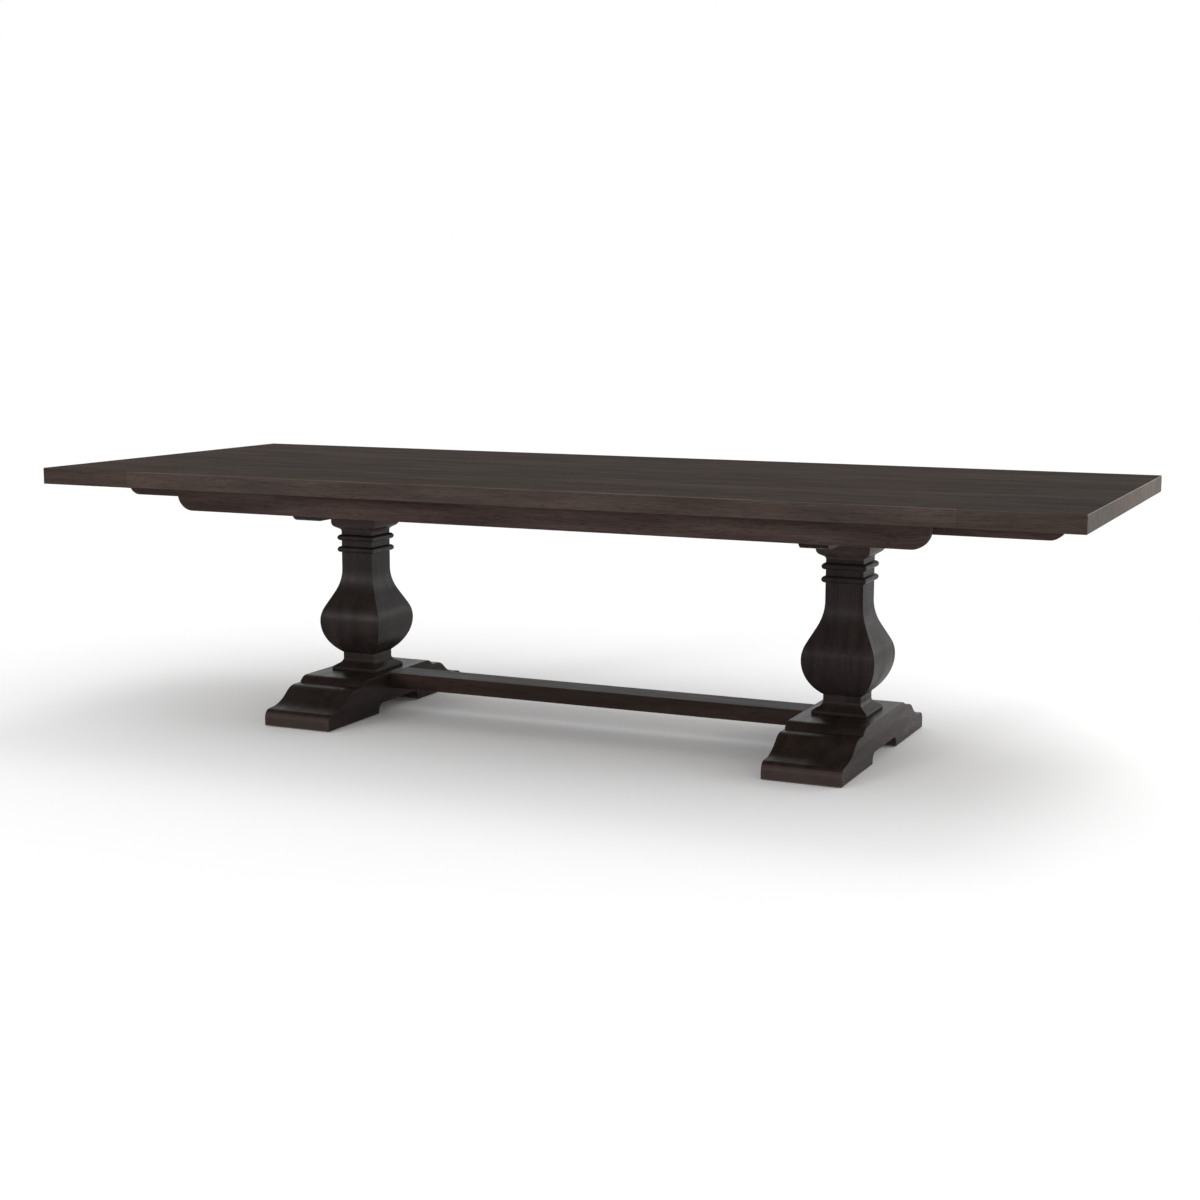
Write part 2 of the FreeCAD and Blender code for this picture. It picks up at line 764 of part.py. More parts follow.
def profiled(name, corners, bottom, side):
    # A square section with the same outline on all four faces, mitred at its corners.
    width = max(x.value for x, _, _ in corners)
    widest = [x for x, _, _ in corners if x.value == width][0]
    depth = widest * 2 + size.overrun
    faces = [extruded(f"{name}_{role}", f"{role}_Plane", corners, depth) for role in ("XZ", "YZ")]
    for face in faces:
        place(face, side * pedestal_place, none, bottom)
    piece = doc.addObject("Part::Common", name)
    piece.Base, piece.Tool = faces
    return piece


def stepped_corners(shares, inner, outer, height):
    return [(inner + (outer - inner) * across, height * up, bulge) for across, up, bulge in shares]


def pedestal_corners():
    neck = size.neck_width / 2
    height = pedestal_top - pedestal_bottom
    corners = stepped_corners(bulb_shares, neck, size.bulb_width / 2, height)
    for share in bead_height_shares:
        middle = height * share
        corners.append((neck, middle - size.bead_radius, quarter_bulge_share))
        corners.append((neck + size.bead_radius, middle, quarter_bulge_share))
        corners.append((neck, middle + size.bead_radius, 0))
    corners.append((neck, height, 0))
    return mirrored_outline(corners)


def pedestal_dowels(name, side, bottom, length, radius):
    places = [(turn * size.pedestal_dowel_x, turn * size.pedestal_dowel_y) for turn in (-1, 1)]
    return [cylinder(f"{name}_{number}", radius, length, (side * pedestal_place + x, y, bottom))
            for number, (x, y) in enumerate(places)]


def make_pedestal(side, name):
    # Plinth, pedestal and capital, stacked on the foot and clamped by the tie rod.
    x = side * pedestal_place
    neck = size.neck_width / 2
    low_dowel_bottom = size.foot_height - size.pedestal_dowel_bite
    low_dowel_length = size.plinth_height + size.pedestal_dowel_bite * 2
    high_dowel_bottom = pedestal_top - size.pedestal_dowel_bite
    high_dowel_length = size.capital_height + size.pedestal_dowel_bite * 2
    dowels = pedestal_dowels(f"{name}_low_dowel", side, low_dowel_bottom, low_dowel_length,
                             size.pedestal_dowel_radius)
    dowels += pedestal_dowels(f"{name}_high_dowel", side, high_dowel_bottom, high_dowel_length,
                              size.pedestal_dowel_radius)

    def holes(piece, low=True, high=True):
        radius = size.pedestal_dowel_radius + size.dowel_gap
        extra = size.dowel_end_gap
        bore_radius = size.tie_rod_radius + size.rod_gap
        cutters = [cylinder(f"{name}_{piece}_rod_bore", bore_radius, underside, (x, none, none))]
        if low:
            cutters += pedestal_dowels(f"{name}_{piece}_low_hole", side, low_dowel_bottom - extra,
                                       low_dowel_length + extra * 2, radius)
        if high:
            cutters += pedestal_dowels(f"{name}_{piece}_high_hole", side, high_dowel_bottom - extra,
                                       high_dowel_length + extra * 2, radius)
        return cutters

    plinth = profiled(f"{name}_plinth_block",
                      mirrored_outline(stepped_corners(plinth_shares, neck, size.plinth_width / 2,
                                                       size.plinth_height)), size.foot_height, side)
    post = profiled(f"{name}_pedestal_post", pedestal_corners(), pedestal_bottom, side)
    capital = profiled(f"{name}_capital_block",
                       mirrored_outline(stepped_corners(capital_shares, neck, size.capital_width / 2,
                                                        size.capital_height)), pedestal_top, side)
    keep(without(f"{name}_plinth_bored", plinth, holes("plinth", high=False)), f"{name}_plinth")
    keep(without(f"{name}_pedestal_bored", post, holes("post")), f"{name}_pedestal")
    keep(without(f"{name}_capital_bored", capital, holes("capital", low=False)), f"{name}_capital")
    make_foot(side, name, holes("foot", high=False))
    lags = make_bearer(side, name, holes("bearer", low=False))
    return dowels, lags


def make_foot(side, name, cutters):
    half = size.foot_length / 2
    right_side = [(half, size.glide_height, 0)]
    right_side += [(half * across, size.foot_height * up, bulge) for across, up, bulge in foot_shares]
    relief = size.relief_length / 2
    turn = relief - size.relief_corner_round
    shoulder = relief_roof - size.relief_corner_round
    underneath = [
        (-relief, size.glide_height, 0),
        (-relief, shoulder, -quarter_bulge_share),
        (-turn, relief_roof, 0),
        (turn, relief_roof, -quarter_bulge_share),
        (relief, shoulder, 0),
        (relief, size.glide_height, 0),
    ]
    corners = mirrored_outline(right_side) + underneath
    body = extruded(f"{name}_foot_block", "YZ_Plane", corners, size.foot_width)
    x = side * pedestal_place
    place(body, x, none, none)
    recess_start = (x, none, relief_roof - size.overrun)
    cutters.append(cylinder(f"{name}_foot_recess", size.nut_recess_radius,
                            size.foot_recess_depth + size.overrun, recess_start))
    low, high = outward(side, foot_side - size.overrun, foot_side + size.foot_bolt_bite + size.dowel_end_gap)
    cutters.append(cylinder(f"{name}_foot_bolt_hole", size.stretcher_bolt_radius + size.thread_gap,
                            high - low, (low, none, stretcher_middle), "X"))
    low, high = outward(side, foot_side - size.overrun,
                        foot_side + size.stretcher_dowel_bite + size.dowel_end_gap)
    for front, front_name in fronts:
        cutters.append(cylinder(f"{name}_foot_{front_name}_dowel_hole",
                                size.stretcher_dowel_radius + size.dowel_gap, high - low,
                                (low, front * size.stretcher_dowel_y, stretcher_middle), "X"))
    for glide_x, glide_y, number in glide_places(side):
        cutters.append(cylinder(f"{name}_glide_hole_{number}", size.glide_nail_radius + size.dowel_gap,
                                size.glide_nail_length + size.dowel_end_gap,
                                (glide_x, glide_y, size.glide_height)))
    keep(without(f"{name}_foot_bored", body, cutters), f"{name}_foot")


def glide_places(side):
    reach = size.foot_width / 2 - size.glide_inset
    return [(side * pedestal_place + turn * reach, front * glide_side, number * 2 + row)
            for number, turn in enumerate((-1, 1)) for row, front in enumerate((-1, 1))]


def make_glides():
    glides = []
    for side, name in sides:
        for x, y, number in glide_places(side):
            disc = cylinder(f"{name}_glide_disc_{number}", size.glide_radius, size.glide_height, (x, y, none))
            nail = cylinder(f"{name}_glide_nail_{number}", size.glide_nail_radius, size.glide_nail_length,
                            (x, y, size.glide_height))
            glides.append(joined(f"{name}_glide_{number}", [disc, nail]))
    group("floor_glides", glides)


def make_bearer(side, name, cutters):
    # The beam across the pedestal's head. It carries the top, and the rails run through its slots.
    end = rail_outer + size.bearer_end_margin
    corners = mirrored_outline([
        (end - size.bearer_corner_round, none, quarter_bulge_share),
        (end, size.bearer_corner_round, 0),
        (end, size.bearer_depth, 0),
    ])
    body = extruded(f"{name}_bearer_beam", "YZ_Plane", corners, size.bearer_width)
    x = side * pedestal_place
    place(body, x, none, bearer_bottom)
    cutters += rail_slots(f"{name}_bearer", span(x, size.bearer_width + size.overrun))
    recess_floor = (x, none, underside - size.bearer_recess_depth)
    cutters.append(cylinder(f"{name}_bearer_recess", size.nut_recess_radius,
                            size.bearer_recess_depth + size.overrun, recess_floor))
    seat = bearer_bottom + size.lag_seat_depth
    lags = []
    for front, front_name in fronts:
        for number, share in enumerate(bearer_screw_shares):
            y = front * rail_inner * share
            label = f"{name}_{front_name}_lag_{number}"
            head = hexagon(f"{label}_head", size.lag_head_radius, size.lag_head_height,
                           (x, y, seat - size.lag_head_height))
            length = underside + size.lag_bite - seat
            shank = cylinder(f"{label}_shank", size.lag_radius, length, (x, y, seat))
            lags.append(joined(label, [head, shank]))
            cutters.append(screw_hole(f"{label}_hole", size.lag_recess_radius,
                                      size.lag_seat_depth + size.overrun, size.lag_radius + size.rod_gap,
                                      underside - seat + size.overrun, (x, y, seat)))
            main_top_bites.append(bite_hole(label, (x, y, underside), size.lag_radius, size.lag_bite))
    keep(without(f"{name}_bearer_cut", body, cutters), f"{name}_bearer")
    return lags


def make_tie_rod(side, name):
    x = side * pedestal_place
    low_seat = relief_roof + size.foot_recess_depth
    high_seat = underside - size.bearer_recess_depth
    hardware = size.washer_thickness + size.nut_height
    bottom = low_seat - hardware - size.tie_rod_proud
    top = high_seat + hardware + size.tie_rod_proud
    keep(cylinder(f"{name}_rod", size.tie_rod_radius, top - bottom, (x, none, bottom)), f"{name}_tie_rod")
    nuts, washers = [], []
    for label, washer_start, nut_start in (
            ("low", low_seat - size.washer_thickness, low_seat - hardware),
            ("high", high_seat, high_seat + size.washer_thickness)):
        seat = (x, none, washer_start)
        disc = cylinder(f"{name}_{label}_disc", size.washer_radius, size.washer_thickness, seat)
        eye = cylinder(f"{name}_{label}_eye", size.tie_rod_radius + size.rod_gap, size.washer_thickness, seat)
        washers.append(without(f"{name}_{label}_washer", disc, [eye]))
        hexed = hexagon(f"{name}_{label}_hexagon", size.nut_radius, size.nut_height, (x, none, nut_start))
        thread = cylinder(f"{name}_{label}_thread", size.tie_rod_radius + size.thread_gap, size.nut_height,
                          (x, none, nut_start))
        nuts.append(without(f"{name}_{label}_nut", hexed, [thread]))
    return nuts, washers


def make_stretcher():
    # The bar between the feet, bolted and dowelled to each of them.
    x_span, y_span = both_ways(foot_side), both_ways(size.stretcher_width / 2)
    bottom = size.foot_height - size.stretcher_depth
    bar = box("stretcher_bar", x_span, y_span, (bottom, size.foot_height))
    cutters, bolts, barrels, dowels = [], [], [], []
    for side, name in sides:
        low, high = outward(side, foot_side - size.stretcher_bolt_bite, foot_side + size.foot_bolt_bite)
        bolts.append(cylinder(f"{name}_stretcher_bolt", size.stretcher_bolt_radius, high - low,
                              (low, none, stretcher_middle), "X"))
        low, high = outward(side, foot_side - size.stretcher_bolt_bite - size.dowel_end_gap,
                            foot_side + size.overrun)
        bore = (size.stretcher_bolt_radius + size.thread_gap, high - low, (low, none, stretcher_middle), "X")
        cutters.append(cylinder(f"{name}_stretcher_bolt_hole", *bore))
        x = side * (foot_side - size.barrel_set_back)
        barrel_bottom = stretcher_middle - size.barrel_length / 2
        barrel = cylinder(f"{name}_barrel", size.barrel_radius, size.barrel_length, (x, none, barrel_bottom))
        barrels.append(without(f"{name}_barrel_nut", barrel, [cylinder(f"{name}_barrel_thread", *bore)]))
        cutters.append(cylinder(f"{name}_barrel_hole", size.barrel_radius + size.barrel_gap,
                                stretcher_middle + size.barrel_length / 2 - bottom + size.overrun,
                                (x, none, bottom - size.overrun)))
        for front, front_name in fronts:
            y = front * size.stretcher_dowel_y
            bite = size.stretcher_dowel_bite
            low, high = outward(side, foot_side - bite, foot_side + bite)
            label = f"{name}_{front_name}_stretcher_dowel"
            start = (low, y, stretcher_middle)
            dowels.append(cylinder(label, size.stretcher_dowel_radius, high - low, start, "X"))
            low, high = outward(side, foot_side - bite - size.dowel_end_gap, foot_side + size.overrun)
            cutters.append(cylinder(f"{label}_hole", size.stretcher_dowel_radius + size.dowel_gap, high - low,
                                    (low, y, stretcher_middle), "X"))
    keep(without("stretcher_bored", bar, cutters), "stretcher")
    group("stretcher_bolts", bolts)
    group("stretcher_barrel_nuts", barrels)
    group("stretcher_dowels", dowels)


def make_frame():
    for front, name in fronts:
        make_apron(front, name)
    screws, dowels = [], []
    for side, name in sides:
        for label, middle, width, depth, slotted in (
                ("crosspiece", crosspiece_middle, size.crosspiece_width, size.crosspiece_depth, True),
                ("batten", batten_middle, size.batten_width, size.batten_depth, False)):
            made = make_cross_member(side, f"{name}_{label}", middle, width, depth, slotted)
            screws += made[0]
            dowels += made[1]
    group("cross_member_screws", screws)
    group("apron_dowels", dowels)
    make_blocks()


def make_trestle():
    dowels, lags, nuts, washers = [], [], [], []
    for side, name in sides:
        more_dowels, more_lags = make_pedestal(side, name)
        dowels += more_dowels
        lags += more_lags
        more_nuts, more_washers = make_tie_rod(side, name)
        nuts += more_nuts
        washers += more_washers
    group("pedestal_dowels", dowels)
    group("bearer_screws", lags)
    group("tie_rod_nuts", nuts)
    group("tie_rod_washers", washers)
    make_stretcher()
    make_glides()


def make_extension():
    plates, pins, plate_screws = [], [], []
    for side, name in sides:
        tabs = []
        for front, front_name in fronts:
            corner = f"{front_name}_{name}"
            make_rail(side, front, corner)
            plate, pin, tacks = make_latch(side, front, corner)
            tab, tab_tacks = make_tab(side, front, corner)
            plates.append(plate)
            pins.append(pin)
            tabs.append(tab)
            plate_screws += tacks + tab_tacks
        group(f"{name}_rest_tabs", tabs)
        make_leaf(side, name)
    group("latch_plates", plates)
    group("latch_pins", pins)
    group("plate_screws", plate_screws)


def make_main_top():
    board = make_rounded_board("main_top_board", both_ways(main_end), size.top_thickness, underside, 0)
    keep(without("main_top_drilled", board, main_top_bites), "main_top")


make_frame()
make_trestle()
make_extension()
make_main_top()
doc.recompute()

faults = [thing.Label for thing in doc.Objects if "Invalid" in thing.State or "Error" in thing.State]
faults += [node.Label for node in nodes if node.Shape.isNull() or not node.Shape.isValid()]
if faults:
    raise SystemExit(f"These did not come out whole: {faults}")

os.makedirs("parts", exist_ok=True)
for node in nodes:
    node.Shape.exportStep(f"parts/{node.Label}.step")
    print(node.Label, len(node.Shape.Solids), round(node.Shape.Volume))
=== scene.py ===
import json
import math

import bmesh
import bpy
from mathutils import Matrix, Vector


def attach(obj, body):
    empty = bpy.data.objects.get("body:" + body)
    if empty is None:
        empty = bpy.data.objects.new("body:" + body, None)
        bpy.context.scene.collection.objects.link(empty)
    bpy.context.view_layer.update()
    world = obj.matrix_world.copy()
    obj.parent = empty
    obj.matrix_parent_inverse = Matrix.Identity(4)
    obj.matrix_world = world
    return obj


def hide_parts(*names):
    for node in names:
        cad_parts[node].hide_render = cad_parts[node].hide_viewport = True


# Trestle extension table, dressed over its frame. Metres, X along the table, its front at -Y, Z up.
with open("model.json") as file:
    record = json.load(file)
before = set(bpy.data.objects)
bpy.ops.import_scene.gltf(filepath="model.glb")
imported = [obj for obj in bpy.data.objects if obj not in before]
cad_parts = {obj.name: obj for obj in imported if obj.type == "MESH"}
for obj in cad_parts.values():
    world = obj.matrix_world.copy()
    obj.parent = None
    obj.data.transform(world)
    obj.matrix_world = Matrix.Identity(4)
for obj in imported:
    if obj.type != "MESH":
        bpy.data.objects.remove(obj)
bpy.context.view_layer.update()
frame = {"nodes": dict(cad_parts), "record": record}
bodies = frame["record"]["behaviour"]["bodies"]
bodyOf = {node: body for body, nodes in bodies.items() for node in nodes}
print("frame loaded:", len(frame["nodes"]), "nodes")


# Shader nodes

def newMaterial(name):
    material = bpy.data.materials.new(name)
    material.use_nodes = True
    return material, material.node_tree, material.node_tree.nodes["Principled BSDF"].inputs


def feed(tree, socket, value):
    if isinstance(value, bpy.types.NodeSocket):
        tree.links.new(value, socket)
    else:
        socket.default_value = value


def addNode(tree, kind, inputs, **settings):
    node = tree.nodes.new(kind)
    for key, value in settings.items():
        setattr(node, key, value)
    for key, value in inputs.items():
        feed(tree, node.inputs[key], value)
    return node


def noise(tree, vector, scale, detail, roughness=0.55):
    stretched = addNode(tree, "ShaderNodeMapping", {"Vector": vector, "Scale": scale}).outputs[0]
    inputs = {"Vector": stretched, "Scale": 1.0, "Detail": detail, "Roughness": roughness}
    return addNode(tree, "ShaderNodeTexNoise", inputs).outputs["Fac"]


def remap(tree, value, low, high, newLow, newHigh):
    inputs = {0: value, 1: low, 2: high, 3: newLow, 4: newHigh}
    return addNode(tree, "ShaderNodeMapRange", inputs).outputs[0]


def compute(tree, operation, first, second=0.0):
    return addNode(tree, "ShaderNodeMath", {0: first, 1: second}, operation=operation).outputs[0]


def mixColour(tree, amount, first, second, blend="MIX"):
    node = addNode(tree, "ShaderNodeMix", {}, data_type="RGBA", blend_type=blend)
    for place, value in ((0, amount), (6, first), (7, second)):
        feed(tree, node.inputs[place], value)
    return node.outputs[2]


def moved(tree, vector, shift):
    return addNode(tree, "ShaderNodeVectorMath", {0: vector, 1: shift}, operation="ADD").outputs[0]


def ownPlace(tree):
    return addNode(tree, "ShaderNodeTexCoord", {}).outputs["Object"]


def addBump(tree, shader, strength, depth, height):
    inputs = {"Strength": strength, "Distance": depth, "Height": height}
    feed(tree, shader["Normal"], addNode(tree, "ShaderNodeBump", inputs).outputs[0])


# View, as in the photograph

viewer = {
    "place": (2.26978, -4.97724, 1.21218),
    "turn": 0.4246,        # to the left of the table's depth
    "tilt": 0.15062,       # down
    "roll": 0.00264,
    "lens": 56.2,
    "sensor": 36,
}


def setCamera(spec):
    data = bpy.data.cameras.new("view")
    data.lens = spec["lens"]
    data.sensor_width = spec["sensor"]
    data.sensor_fit = "HORIZONTAL"
    camera = bpy.data.objects.new("view", data)
    turn = Matrix.Rotation(spec["turn"], 4, "Z")
    tilt = Matrix.Rotation(math.pi / 2 - spec["tilt"], 4, "X")
    roll = Matrix.Rotation(spec["roll"], 4, "Z")
    camera.matrix_world = Matrix.Translation(spec["place"]) @ turn @ tilt @ roll
    bpy.context.scene.collection.objects.link(camera)
    bpy.context.scene.camera = camera


# Light and floor

studio = {
    "skyShade": (1, 1, 1, 1),
    "seenLevel": 1,
    "skyLevel": 0.9,        # a little dimmer as a light than to the eye
    "floorHalf": 60,
    "floorShade": (1, 1, 1, 1),
    "floorRoughness": 1,
    "floorGloss": 0,
    "nearReach": 0.012,     # the floor is clear to rays shorter than this
}
softbox = {"place": (2.7, 0.9, 0.8), "aim": (1.5, 0.1, 0.7), "size": (1.6, 0.5), "power": 14}
farLamps = {
    "frontLamp": {"from": (-0.39, -0.90, 0.19), "power": 0.65, "spread": 14},
    "highLamp": {"from": (0.15, 0.50, 0.85), "power": 0.31, "spread": 25},
    "backLamp": {"from": (0.42, 0.90, 0.12), "power": 0.12, "spread": 16},
}


def setLight(spec):
    world = bpy.data.worlds.new("studio")
    world.use_nodes = True
    tree = world.node_tree
    sky = tree.nodes["Background"].inputs
    ray = addNode(tree, "ShaderNodeLightPath", {}).outputs
    seen = ray["Is Camera Ray"]
    for other in ("Is Glossy Ray", "Is Transmission Ray"):
        seen = compute(tree, "MAXIMUM", seen, ray[other])
    feed(tree, sky["Color"], spec["skyShade"])
    feed(tree, sky["Strength"], remap(tree, seen, 0, 1, spec["skyLevel"], spec["seenLevel"]))
    bpy.context.scene.world = world


def addLamp(name, kind, power, direction, place=(0, 0, 0)):
    data = bpy.data.lights.new(name, kind)
    data.energy = power
    lamp = bpy.data.objects.new(name, data)
    lamp.location = place
    lamp.rotation_euler = Vector(direction).to_track_quat("Z", "Y").to_euler()
    bpy.context.scene.collection.objects.link(lamp)
    return data


def addSoftbox(spec):
    direction = Vector(spec["place"]) - Vector(spec["aim"])
    data = addLamp("softbox", "AREA", spec["power"], direction, spec["place"])
    data.shape = "RECTANGLE"
    data.size, data.size_y = spec["size"]


def makeFloor(spec):
    # Clear from below, to look at the underside, and to short rays, so that the feet's own
    # undersides get light.
    material, tree, shader = newMaterial("paleFloor")
    shader["Base Color"].default_value = spec["floorShade"]
    shader["Roughness"].default_value = spec["floorRoughness"]
    shader["Specular IOR Level"].default_value = spec["floorGloss"]
    below = addNode(tree, "ShaderNodeNewGeometry", {}).outputs["Backfacing"]
    reach = addNode(tree, "ShaderNodeLightPath", {}).outputs["Ray Length"]
    near = compute(tree, "LESS_THAN", reach, spec["nearReach"])
    solid = tree.nodes["Principled BSDF"].outputs[0]
    clear = addNode(tree, "ShaderNodeBsdfTransparent", {}).outputs[0]
    inputs = {0: compute(tree, "MAXIMUM", below, near), 1: solid, 2: clear}
    surface = addNode(tree, "ShaderNodeMixShader", inputs).outputs[0]
    feed(tree, tree.nodes["Material Output"].inputs["Surface"], surface)
    return material


def layFloor(spec):
    shape = bmesh.new()
    bmesh.ops.create_grid(shape, x_segments=1, y_segments=1, size=spec["floorHalf"])
    mesh = bpy.data.meshes.new("floor")
    shape.to_mesh(mesh)
    shape.free()
    mesh.materials.append(makeFloor(spec))
    floor = bpy.data.objects.new("floor", mesh)
    bpy.context.scene.collection.objects.link(floor)


setCamera(viewer)
setLight(studio)
addSoftbox(softbox)
for name, spec in farLamps.items():
    addLamp(name, "SUN", spec["power"], spec["from"]).angle = math.radians(spec["spread"])
layFloor(studio)
bpy.context.scene.view_settings.view_transform = "Standard"
print("camera, light and floor set")


# Wood finishes, named by the way their grain runs

noiseSpan = (0.3, 0.7)      # most of a noise's values lie in it
grainWays = {
    "Along": {"axis": 0, "turn": (0, 0, 0)},
    "Across": {"axis": 1, "turn": (0, 0, math.pi / 2)},
    "Upright": {"axis": 2, "turn": (0, math.pi / 2, 0)},
}
darkStain = {
    "stain": (0.0345, 0.0243, 0.0200),
    "deep": (0.0259, 0.0184, 0.0153),
    "warm": (0.0462, 0.0320, 0.0259),
    "stainAt": 0.50,        # where the tones lie in the figure
    "deepAt": 0.37,
    "warmAt": 0.65,
    "redTint": (1.05, 0.99, 0.97),
    "greyTint": (0.92, 0.97, 0.96),
    "pore": (0.010, 0.007, 0.006),
    # Edges rubbed lighter: partly real wear, partly a painted highlight along the arrises.
    "rubbedAndHighlight": (0.15, 0.115, 0.095),
    "wearAndHighlight": 0.6,
    "wornAndHighlitSpan": (0.35, 0.6),
    "drift": ((0.6, 2, 2), 2.0),        # each noise: scale, detail and its own roughness
    "streaks": ((3.2, 34, 34), 6.0, 0.62),
    "bands": ((0.9, 7, 7), 2.0),
    "rings": ((0.35, 3.2, 3.2), 1.5),
    "fibres": ((8, 380, 380), 3.0, 0.6),
    "pores": ((30, 1000, 1000), 1.0),
    "clouds": ((0.8, 1.6, 1.6), 3.0, 0.6),
    "sway": 0.012,
    "bandShare": 0.3,
    "ringCount": 90.0,
    "ringShare": 0.035,
    "fibreShare": 0.05,
    "poreEdge": 0.57,
    "poreBlur": 0.08,
    "poreShare": 0.55,
    "cloudSpan": (0.38, 0.62),
    "endEvening": 0.65,     # end grain shows less of the figure
    "roughness": 0.76,
    "roughSwing": 0.05,
    "roughSpan": (0.35, 0.65),
    "fibreRise": 0.6,
    "relief": 0.25,
    "depth": 0.0004,
    "gloss": 0.03,
}
stainedTop = {
    **darkStain,
    "paintedSideShade": (1.66, 1.74, 1.86),        # painted side light: the upright sides are coloured lighter than the face
    "boardWidth": 0.12,
    "boardShare": 0.05,
    "boardApart": 9.0,
}
stainedLeftLeaf = {
    **stainedTop,
    "stain": (0.0368, 0.0252, 0.0204),
    "deep": (0.0278, 0.0191, 0.0156),
    "warm": (0.0497, 0.0333, 0.0264),
    # Leaves: a pale painted highlight on their rims, painted side light, and painted light on their
    # end faces.
    "rubbedAndHighlight": (0.34, 0.31, 0.28),
    "paintedSideShade": (1.27, 1.37, 1.47),
    "paintedEndLight": (1.88, 2.20, 2.35),      # painted light: the end faces are coloured lighter still
}
stainedRightLeaf = {
    **stainedLeftLeaf,
    "stain": (0.0318, 0.0236, 0.0197),
    "deep": (0.0240, 0.0179, 0.0151),
    "warm": (0.0426, 0.0311, 0.0256),
    # painted side light and painted end light, set apart from the left leaf's
    "paintedSideShade": (1.62, 1.60, 1.66),
    "paintedEndLight": (1.97, 2.31, 2.41),
}
stainedRail = {
    **darkStain,
    "stain": (0.0625, 0.0442, 0.0405),
    "deep": (0.0442, 0.0304, 0.0285),
    "warm": (0.0865, 0.0616, 0.0552),
    "rubbedAndHighlight": (0.14, 0.105, 0.09),
    "wearAndHighlight": 0.3,
}
# The aprons' upright faces are coloured a little darker: painted shade.
stainedApron = {**stainedRail, "paintedSideShade": (0.92, 0.92, 0.92)}
# Lighter than the rest of the trestle: painted light, lifting the capitals out of the shade under
# the top.
capitalPaintedLight = {
    **stainedRail,
    "stain": (0.052, 0.0365, 0.034),
    "deep": (0.038, 0.026, 0.0245),
    "warm": (0.072, 0.051, 0.046),
    "roughness": 0.38,
    "gloss": 0.05,
}
stainedTrestle = {
    **darkStain,
    "stain": (0.0236, 0.0163, 0.0142),
    "deep": (0.0177, 0.0122, 0.0107),
    "warm": (0.0320, 0.0220, 0.0185),
    "pore": (0.005, 0.004, 0.0035),
    "rubbedAndHighlight": (0.055, 0.040, 0.034),
    "wearAndHighlight": 0.4,
    "roughness": 0.30,
    "relief": 0.2,
    "gloss": 0.05,
}
# The left pedestal takes a darker copy of the trestle stain: painted shade.
leftPedestalPaintedShade = {
    **stainedTrestle,
    "stain": (0.0206, 0.0153, 0.0139),
    "deep": (0.0154, 0.0114, 0.0104),
    "warm": (0.0279, 0.0207, 0.0182),
    "gloss": 0.10,
}
# The right pedestal takes a lighter, greyer copy of the trestle stain: painted light.
rightPedestalPaintedLight = {
    **stainedTrestle,
    "stain": (0.0229, 0.0185, 0.0178),
    "deep": (0.0172, 0.0139, 0.0134),
    "warm": (0.0310, 0.0250, 0.0232),
    "gloss": 0.034,
}
# The feet's upright sides and end faces (their noses) are coloured lighter: painted light.
stainedFoot = {**stainedTrestle, "paintedSideShade": (1.12, 1.13, 1.18), "paintedEndLight": (1.80, 1.84, 1.84)}
# The stretcher's upright faces are coloured lighter: painted light.
stainedStretcher = {
    **stainedTrestle,
    "paintedSideShade": (1.30, 1.25, 1.22),
    "roughness": 0.40,
    "gloss": 0.035,
}
plainWood = {
    **darkStain,
    "stain": (0.34, 0.23, 0.145),
    "deep": (0.24, 0.15, 0.09),
    "warm": (0.43, 0.31, 0.205),
    "redTint": (1.05, 0.97, 0.93),
    "greyTint": (0.94, 0.97, 0.98),
    "pore": (0.15, 0.09, 0.055),
    "rubbedAndHighlight": (0.44, 0.33, 0.23),
    "wearAndHighlight": 0.3,
    "roughness": 0.7,
    "gloss": 0.2,
}
woods = {
    "topAlong": stainedTop,
    "leftLeafAlong": stainedLeftLeaf,
    "rightLeafAlong": stainedRightLeaf,
    "apronAlong": stainedApron,
    "stainAlong": stainedRail,
    "capitalAcross": capitalPaintedLight,
    "stretcherAlong": stainedStretcher,
    "trestleAcross": stainedTrestle,
    "leftUpright": leftPedestalPaintedShade,
    "rightUpright": rightPedestalPaintedLight,
    "footAcross": stainedFoot,
    "plainAlong": plainWood,
    "plainAcross": plainWood,
}


def grainWay(finish):
    return next(way for ending, way in grainWays.items() if finish.endswith(ending))


def splitBoards(tree, grain, spec):
    # Glued boards side by side, each with its own figure and a slightly different shade.
    across = addNode(tree, "ShaderNodeSeparateXYZ", {"Vector": grain}).outputs["Y"]
    board = compute(tree, "FLOOR", compute(tree, "DIVIDE", across, spec["boardWidth"]))
    luck = addNode(tree, "ShaderNodeTexWhiteNoise", {"W": board}, noise_dimensions="1D").outputs
    share = spec["boardShare"]
    shade = remap(tree, luck["Value"], 0, 1, 1 - share, 1 + share)
    inputs = {0: luck["Color"], "Scale": spec["boardApart"]}
    apart = addNode(tree, "ShaderNodeVectorMath", inputs, operation="SCALE").outputs[0]
    return moved(tree, grain, apart), shade


def swayGrain(tree, grain, spec):
    drift = noise(tree, grain, *spec["drift"])
    sway = remap(tree, drift, *noiseSpan, -spec["sway"], spec["sway"])
    shift = addNode(tree, "ShaderNodeCombineXYZ", {"Y": sway, "Z": sway}).outputs[0]
    return moved(tree, grain, shift)


